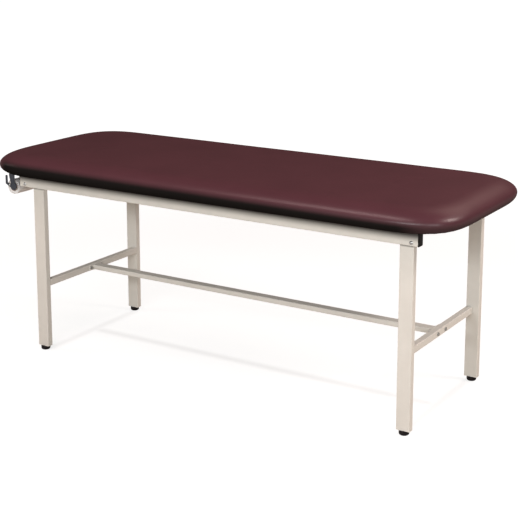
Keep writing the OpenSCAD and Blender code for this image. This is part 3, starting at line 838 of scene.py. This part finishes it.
def makeCap(look):
    # for the +X end, with the rail's end face at x = 0 and its middle at y = 0
    half = (railHigh.y - railLow.y) / 2 + look["overhang"]
    cap = startCube("capPattern", (0, -half, look["low"]), (look["flange"], half, look["high"]))
    pick(cap, lambda edge: abs(edge.verts[0].co.x - edge.verts[1].co.x) > look["flange"] / 2, "EDGE")
    bpy.ops.mesh.bevel(offset=look["corner"], segments=5)
    pickFacing(cap, (1, 0, 0))
    bpy.ops.mesh.region_to_loop()
    bpy.ops.mesh.bevel(offset=look["edge"], segments=3)
    pickFacing(cap, (-1, 0, 0))
    bpy.ops.mesh.inset(thickness=look["wallGap"] + look["overhang"])
    for number, step in enumerate(look["plugSteps"]):
        if number:
            bpy.ops.mesh.inset(thickness=look["ribHeight"], use_outset=number % 2 == 1)
        push(x=-step)
    bpy.ops.mesh.inset(thickness=look["plugWall"])
    push(x=look["hollow"])
    setMode("OBJECT")
    return cap


capPattern = makeCap(capSettings)
capPlaces = [placed((side * railHigh.x, middleY, 0), (0, 0, 0 if side > 0 else 180))
             for side in (1, -1) for middleY in (middleOf("front_rail").y, middleOf("rear_rail").y)]
railCaps = placeCopies(capPattern, "railCaps", capPlaces)
dress(railCaps, blackPlastic, replaced=("rail_caps",), smoothAngle=40)
print("rail caps made")


# Domed bolts through the rails' ends
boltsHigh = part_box("rail_bolts")[1]
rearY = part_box("rear_rail")[1].y
threadSettings = {"pitch": 0.0011, "depth": 0.0003, "turns": 9, "tip": 0.0005, "tipSize": 0.8}
boltSettings = {
    "shank": 0.003175, "length": 0.0426, "domeWidth": 0.0143, "domeHeight": boltsHigh.y - rearY,
    "rim": 0.0004, "sides": 40, "rings": 96}
boltX = boltsHigh.x - boltSettings["domeWidth"] / 2
boltZ = middleOf("rail_bolts").z


def plainLength(look, thread):
    return look["length"] - thread["turns"] * thread["pitch"] - thread["tip"]


def addThread(shank, thread):
    # The shank's end face is drawn out ring by ring, wide and narrow by turns
    narrow = (shank - thread["depth"]) / shank
    for number in range(2 * thread["turns"]):
        push(z=-thread["pitch"] / 2)
        widen(narrow if number % 2 == 0 else 1 / narrow)
    push(z=-thread["tip"])
    widen(thread["tipSize"])


def makeDomedBolt(look, thread):
    dome = look["domeHeight"]
    reach = ((look["domeWidth"] / 2) ** 2 + dome ** 2) / (2 * dome)
    bpy.ops.mesh.primitive_uv_sphere_add(segments=look["sides"], ring_count=look["rings"], radius=reach,
                                         location=(0, 0, dome - reach))
    bolt = startShaping("domedBolt")
    bpy.ops.mesh.bisect(plane_co=(0, 0, look["rim"]), plane_no=(0, 0, 1), clear_inner=True, use_fill=True)
    push(z=-look["rim"])
    insetBy(look["domeWidth"] / 2 - look["shank"])
    push(z=-plainLength(look, thread))
    addThread(look["shank"], thread)
    setMode("OBJECT")
    return bolt


def startHexagon(name, look):
    # Also gives its corners' radius, the radius where they are turned away, and the slope's rise
    half = look["width"] / 2
    corner = half / math.cos(math.radians(30))
    piece = startRod(name, corner, 0, look["height"], 6)
    setMode("OBJECT")
    return piece, corner, look["turned"] * half, look["height"] * look["slope"]


def turnCorners(piece, look, below, above):
    bpy.ops.mesh.primitive_cone_add(vertices=look["turnSides"], radius1=below, radius2=above,
                                    depth=look["height"], location=(0, 0, look["height"] / 2))
    cutWith(piece, bpy.context.object, "INTERSECT")


def makeHexNut(look):
    nut, corner, narrow, rise = startHexagon("hexNut", look)
    turnCorners(nut, look, corner + rise, narrow)
    turnCorners(nut, look, narrow, corner + rise)
    bpy.ops.mesh.primitive_cylinder_add(vertices=look["boreSides"], radius=look["bore"],
                                        depth=3 * look["height"], location=(0, 0, look["height"] / 2))
    cutWith(nut, bpy.context.object, "DIFFERENCE")
    return nut


def makeHexBolt(look, thread):
    # The head's bearing face is at z = 0 and the shank runs down
    bolt, corner, narrow, rise = startHexagon("hexBolt", look)
    turnCorners(bolt, look, narrow + rise, narrow)
    shank = startRod("hexShank", look["shank"], -plainLength(look, thread), look["overlap"], look["sides"])
    pickFacing(shank, (0, 0, -1))
    addThread(look["shank"], thread)
    setMode("OBJECT")
    cutWith(bolt, shank, "UNION")
    return bolt


domedBolt = makeDomedBolt(boltSettings, threadSettings)
hexSettings = {"width": 0.0111, "turned": 0.95, "slope": 1.732, "turnSides": 48}
nutSettings = {**hexSettings, "height": 0.0056, "bore": 0.0032, "boreSides": 40, "turns": (17, -8)}
hexNut = makeHexNut(nutSettings)
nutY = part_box("rail_nuts")[1].y
railBoltPlaces = []
railNutPlaces = []
for side in (1, -1):
    for boltY, nearY, turn, nutTurn in ((railLow.y, -nutY, 90, nutSettings["turns"][0]),
                                        (rearY, nutY, -90, nutSettings["turns"][1])):
        railBoltPlaces.append(placed((side * boltX, boltY, boltZ), (turn, 0, 0)))
        railNutPlaces.append(placed((side * boltX, nearY, boltZ), (-turn, nutTurn, 0)))
dress(placeCopies(domedBolt, "railBolts", railBoltPlaces), zinc, replaced=("rail_bolts",), smoothAngle=40)
dress(placeCopies(hexNut, "railNuts", railNutPlaces), zinc, replaced=("rail_nuts",), smoothAngle=25)

# Hexagon bolts and nuts of the stretchers, with their heads outwards
stretcherBolt = {
    **hexSettings, "shank": 0.003175, "length": 0.0364, "height": 0.0042, "overlap": 0.0002, "sides": 32,
    "gap": 0.03175}
hexBolt = makeHexBolt(stretcherBolt, threadSettings)
stretcherZ = middleOf("head_stretcher").z
# each with the faces it sits on at the foot and head end, and its turn at the foot end
stretcherFixings = (
    (hexBolt, "stretcherBolts", "stretcher_bolts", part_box("foot_stretcher")[1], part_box("head_stretcher")[0], 90),
    (hexNut, "stretcherNuts", "stretcher_nuts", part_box("foot_end_plate")[0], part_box("head_end_plate")[1], -90))
for pattern, name, nodeName, footFace, headFace, turn in stretcherFixings:
    places = [placed((face.x, gap, stretcherZ), (0, faceTurn, 0))
              for gap in (stretcherBolt["gap"], -stretcherBolt["gap"])
              for face, faceTurn in ((footFace, turn), (headFace, -turn))]
    dress(placeCopies(pattern, name, places), darkZinc, replaced=(nodeName,), smoothAngle=25)
print("bolts and nuts made")


# Pan head screws with a cross recess, heads down
deckScrewSettings = {
    "shank": 0.0021, "length": 0.015, "headRadius": 0.0042, "head": 0.0026, "crossWidth": 0.0009,
    "crossReach": 0.0023, "crossDepth": 0.0015, "sides": 28, "turn": 37}
footScrewSettings = {
    "shank": 0.003175, "length": 0.0172, "headRadius": 0.00635, "head": 0.004, "crossWidth": 0.0013,
    "crossReach": 0.0034, "crossDepth": 0.0022, "sides": 36, "turn": 23}
# for both sizes: the head's rounding, the point's length and size, and the recess's depth and taper
screwShares = {"rounding": 0.55, "point": 0.98, "pointSize": 0.2, "recess": 1.5, "taper": 0.7}
screwSpots = {
    "bracketX": (-0.8952, -0.8752), "bracketY": 0.275, "bracketZ": 0.7048,
    "angleSpread": 0.0095, "angleY": 0.2462, "angleZ": 0.7046, "crossY": 0.150, "crossZ": 0.7062}


def makePanScrew(look, name, shares=screwShares):
    screw = startRod(name, look["headRadius"], -look["head"], 0, look["sides"])
    pickRim(screw, -look["head"])
    bpy.ops.mesh.bevel(offset=look["head"] * shares["rounding"], segments=4)
    pickFacing(screw, (0, 0, 1))
    insetBy(look["headRadius"] - look["shank"])
    push(z=look["length"] - look["shank"])
    push(z=look["shank"] * shares["point"])
    widen(shares["pointSize"])
    reach, half = look["crossReach"], look["crossWidth"] / 2
    for wide, deep in ((reach, half), (half, reach)):
        setMode("OBJECT")
        low, high = -look["head"] * shares["recess"], look["crossDepth"] - look["head"]
        bar = startCube("crossBar", (-wide, -deep, low), (wide, deep, high))
        pickFacing(bar, (0, 0, 1))
        widen(shares["taper"])
        cutWith(screw, bar, "DIFFERENCE")
    return screw


crossX = middleOf("foot_cross_rail").x
screwPlaces = []
for sideY in (1, -1):
    for spotX in screwSpots["bracketX"]:
        screwPlaces.append((spotX, sideY * screwSpots["bracketY"], screwSpots["bracketZ"]))
    for sideX in (1, -1):
        for along in (-screwSpots["angleSpread"], screwSpots["angleSpread"]):
            screwPlaces.append((sideX * boltX + along, sideY * screwSpots["angleY"], screwSpots["angleZ"]))
        screwPlaces.append((sideX * crossX, sideY * screwSpots["crossY"], screwSpots["crossZ"]))
deckScrew = makePanScrew(deckScrewSettings, "deckScrew")
deckScrewPlaces = [placed(spot, (0, 0, deckScrewSettings["turn"] * number % 90))
                   for number, spot in enumerate(screwPlaces)]
dress(placeCopies(deckScrew, "deckScrews", deckScrewPlaces), zinc, replaced=("deck_screws",))
footScrew = makePanScrew(footScrewSettings, "footScrew")
footScrewPlaces = [placed((*spot, footSettings["recessDepth"]), (0, 0, footScrewSettings["turn"] * number))
                   for number, spot in enumerate(footSpots)]
dress(placeCopies(footScrew, "footScrews", footScrewPlaces), zinc, replaced=("foot_screws",))
print("screws made")


# Weld beads, drawn out ring by ring with a ripple each pitch. They stop short of each corner.
weldSettings = {
    "radius": 0.0023, "ripple": 0.00028, "unevenness": 0.3, "pitch": 0.0018, "sides": 8, "seed": 4,
    "startSize": 0.55, "endSize": 0.5, "legInset": 0.0025, "outerInset": 0.004, "barInset": 0.003}
# each bar's axis, and which of its level and upright edges are welded: 0 is the low side, 1 the high
weldedBars = {
    "head_stretcher": (1, (0, 1), (0,)), "foot_stretcher": (1, (0, 1), (1,)), "long_stretcher": (0, (0, 1), (0, 1)),
    "head_cross_rail": (1, (0,), (0, 1)), "foot_cross_rail": (1, (0,), (0, 1))}
rippleDraw = random.Random(weldSettings["seed"])
beads = []


def addBead(start, end, look=weldSettings):
    start, end = Vector(start), Vector(end)
    length = (end - start).length
    before = look["radius"] * look["startSize"]
    bpy.ops.mesh.primitive_circle_add(vertices=look["sides"], radius=before, fill_type="NGON")
    bead = startShaping("bead")
    steps = max(round(length / look["pitch"]), 3) * 2
    for step in range(steps):
        push(z=length / steps)
        swing = (1 if step % 2 == 0 else -1) + rippleDraw.uniform(-1, 1) * look["unevenness"]
        radius = look["radius"] + look["ripple"] * swing
        if step == steps - 1:
            radius = look["radius"] * look["endSize"]
        widen(radius / before)
        before = radius
    setMode("OBJECT")
    bead.matrix_world = Matrix.Translation(start) @ (end - start).to_track_quat("Z", "Y").to_matrix().to_4x4()
    beads.append(bead)


for legName in legNames:
    low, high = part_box(legName)
    inner, outer, towards = (high.y, low.y, 1) if low.y < 0 else (low.y, high.y, -1)
    inset = weldSettings["legInset"]
    startY, endY = outer + towards * weldSettings["outerInset"], inner - towards * inset
    addBead((low.x + inset, inner, high.z), (high.x - inset, inner, high.z))
    for sideX in (low.x, high.x):
        addBead((sideX, startY, high.z), (sideX, endY, high.z))
for barName, (axis, level, upright) in weldedBars.items():
    box = low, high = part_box(barName)
    inset = weldSettings["barInset"]
    wide = 1 - axis
    for end in (low[axis], high[axis]):
        edges = [((low[wide] + inset, box[edge].z), (high[wide] - inset, box[edge].z)) for edge in level]
        edges += [((box[edge][wide], low.z + inset), (box[edge][wide], high.z - inset)) for edge in upright]
        for ends in edges:
            addBead(*[(across, end, z) if axis else (end, across, z) for across, z in ends])
frameWelds = joined(beads, "frameWelds")
dress(frameWelds, framePaint, smoothAngle=60)
print("welds made,", len(frameWelds.data.polygons), "faces")


# Paper roll: wound ends with fine ridges, and the sheet's free edge lying on the roll
paperLow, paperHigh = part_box("paper_roll")
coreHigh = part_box("roll_core")[1]
paperSettings = {
    "radius": (paperHigh.x - paperLow.x) / 2, "hole": coreHigh.x - rollAxis.x, "width": paperHigh.y - paperLow.y,
    "sides": 120, "ridges": 15, "ridgeHeight": 0.00045, "ridgeLeast": 0.1, "ridgeSlope": 0.25, "step": 0.0004,
    "edgeAngle": -36, "seed": 11, "tail": 0.011, "tailLift": 0.0016, "liftLeast": 0.35, "tailSheet": 0.00025,
    "tailShort": 0.001, "tailSink": 0.0001, "waves": 26, "stepsPerWave": 6, "stepsAlong": 8}


def makePaperRoll(look):
    roll = startRod("paperRoll", look["radius"], -look["width"] / 2, look["width"] / 2, look["sides"])
    draw = random.Random(look["seed"])
    ring = (look["radius"] - look["hole"]) / (look["ridges"] + 1)
    for side in (1, -1):
        pickFacing(roll, (0, 0, side))
        last = 0.0
        for number in range(look["ridges"]):
            level = -side * draw.uniform(look["ridgeLeast"], 1.0) * look["ridgeHeight"]
            insetBy(ring * look["ridgeSlope"])
            bpy.ops.transform.translate(value=(0, 0, level - last))
            insetBy(ring * (1 - look["ridgeSlope"]))
            last = level
        insetBy(ring)
    pick(roll, lambda face: len(face.verts) == look["sides"])
    bpy.ops.mesh.bridge_edge_loops()
    # the outer turn grows by one step round the roll, and ends in the free edge
    mesh = bmesh.from_edit_mesh(roll.data)
    for vert in mesh.verts:
        reach = vert.co.xy.length
        if reach > look["radius"] - ring * 0.2:
            turn = (math.degrees(math.atan2(vert.co.y, vert.co.x)) - 1) % 360 / 360
            vert.co.xy *= (look["radius"] - look["step"] * (1 - turn)) / reach
    bmesh.update_edit_mesh(roll.data)
    setMode("OBJECT")

    # the tail is a narrow sheet that leaves the outer turn and lifts a little, with a faint wave
    bpy.ops.mesh.primitive_grid_add(x_subdivisions=look["stepsAlong"],
                                    y_subdivisions=look["waves"] * look["stepsPerWave"], size=1)
    tail = startShaping("paperTail")
    mesh = bmesh.from_edit_mesh(tail.data)
    for vert in mesh.verts:
        along = vert.co.x + 0.5
        across = vert.co.y * (look["width"] - look["tailShort"])
        wave = 0.5 + 0.5 * noise.noise(Vector((across * look["waves"], along, 3.0)))
        lift = look["tailLift"] * along ** 2 * (look["liftLeast"] + wave)
        angle = along * look["tail"] / look["radius"]
        reach = look["radius"] - look["tailSheet"] / 2 - look["tailSink"] + lift
        vert.co = (reach * math.cos(angle), reach * math.sin(angle), across)
    bmesh.update_edit_mesh(tail.data)
    setMode("OBJECT")
    thicken(tail, look["tailSheet"])
    joined([roll, tail], "paperRoll")
    # local +Z runs along the table's +Y, and the free edge goes to its angle from +X
    roll.matrix_world = placed(middleOf("paper_roll"), (-90, -look["edgeAngle"], 0))
    return roll


paperRoll = makePaperRoll(paperSettings)
dress(paperRoll, paper, body="roll", replaced=("paper_roll",), smoothAngle=25)
print("paper roll made")


# Dust cover: cloth stretched under the deck and stapled round its edge
dustLow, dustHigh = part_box("dust_cover")
dustSettings = {
    "inset": coverHigh.x - dustHigh.x, "middleHeight": middleOf("dust_cover").z, "thickness": 0.0006,
    "hem": 0.006, "hemStep": 0.002, "step": 0.0135, "sag": 0.0016, "sagShares": (0.8, 0.4), "sagScale": 3.0,
    "pucker": 0.00022, "puckerScale": 45.0, "freeX": 0.745, "freeY": 0.262, "fadeX": 0.2, "fadeY": 0.12}
stapleSettings = {
    "width": 0.0105, "wire": 0.0011, "proud": 0.0005, "edge": 0.6, "leg": 0.006, "inset": 0.0045, "sink": 0.0004,
    "gap": 0.052, "gapSpread": 0.006, "turnSpread": 6, "seed": 7, "bracket": (-0.85, 0.25, 0.305)}


def makeDustCover(look, form):
    height = look["middleHeight"]
    evenSag, unevenSag = look["sagShares"]
    hem = look["inset"] + look["hem"]
    free = form["lastInset"] - hem
    count = round(free / look["step"])
    rings = [(look["inset"] + step * look["hemStep"], height) for step in range(4)]
    rings += [(hem + free * number / count, height) for number in range(1, count + 1)]
    cover = buildShell("dustCover", form, rings)
    for vert in cover.data.vertices:
        fromEnd = min(1, max(0, (look["freeX"] - abs(vert.co.x)) / look["fadeX"]))
        fromSide = fromEnd * min(1, max(0, (look["freeY"] - abs(vert.co.y)) / look["fadeY"]))
        ease = fromSide * fromSide * (3 - 2 * fromSide)
        vert.co.z -= look["sag"] * ease * (evenSag + unevenSag * noise.noise(vert.co * look["sagScale"]))
        vert.co.z += look["pucker"] * noise.noise(vert.co * look["puckerScale"])
    thicken(cover, look["thickness"])
    return cover


def sidesOf(outline):
    return zip(outline, outline[1:] + outline[:1])


def makeStaple(look):
    # crown below, legs up into the deck
    half = look["width"] / 2
    staple = startCube("staple", (-half, -look["wire"] / 2, 0), (half, look["wire"] / 2, look["proud"]))
    pickFacing(staple, (0, 0, -1))
    bpy.ops.mesh.bevel(offset=look["proud"] * look["edge"], segments=1)
    for spot in (look["wire"] - half, half - look["wire"]):
        bpy.ops.mesh.select_all(action="SELECT")
        bpy.ops.mesh.bisect(plane_co=(spot, 0, 0), plane_no=(1, 0, 0))
    pick(staple, lambda face: face.normal.z > 0.99 and abs(face.calc_center_median().x) > half - look["wire"])
    push(z=look["leg"])
    setMode("OBJECT")
    return staple


dustCover = makeDustCover(dustSettings, cushionForm)
dustOutline = ringOutline(dustSettings["inset"], cushionForm)
dress(dustCover, blackLining, replaced=("dust_cover",))

stapleDraw = random.Random(stapleSettings["seed"])
staplePlaces = []
walked = 0.0
due = 0.0
for start, end in sidesOf(ringOutline(dustSettings["inset"] + stapleSettings["inset"], cushionForm)):
    walked += math.dist(start, end)
    if walked < due:
        continue
    due += stapleSettings["gap"] + stapleDraw.uniform(-1, 1) * stapleSettings["gapSpread"]
    middleX, middleY = (start[0] + end[0]) / 2, (start[1] + end[1]) / 2
    if underBracket(middleX, middleY, stapleSettings["bracket"]):
        continue
    heading = math.degrees(math.atan2(end[1] - start[1], end[0] - start[0]))
    heading += stapleDraw.uniform(-1, 1) * stapleSettings["turnSpread"]
    staplePlaces.append(placed((middleX, middleY, dustLow.z - stapleSettings["sink"]), (0, 0, heading)))
staple = makeStaple(stapleSettings)
dress(placeCopies(staple, "staples", staplePlaces), zinc)
print("dust cover made, with", len(staplePlaces), "staples")

for pattern in (footPattern, capPattern, domedBolt, hexNut, hexBolt, deckScrew, footScrew, staple):
    bpy.data.objects.remove(pattern)
scene.view_settings.view_transform = "Standard"
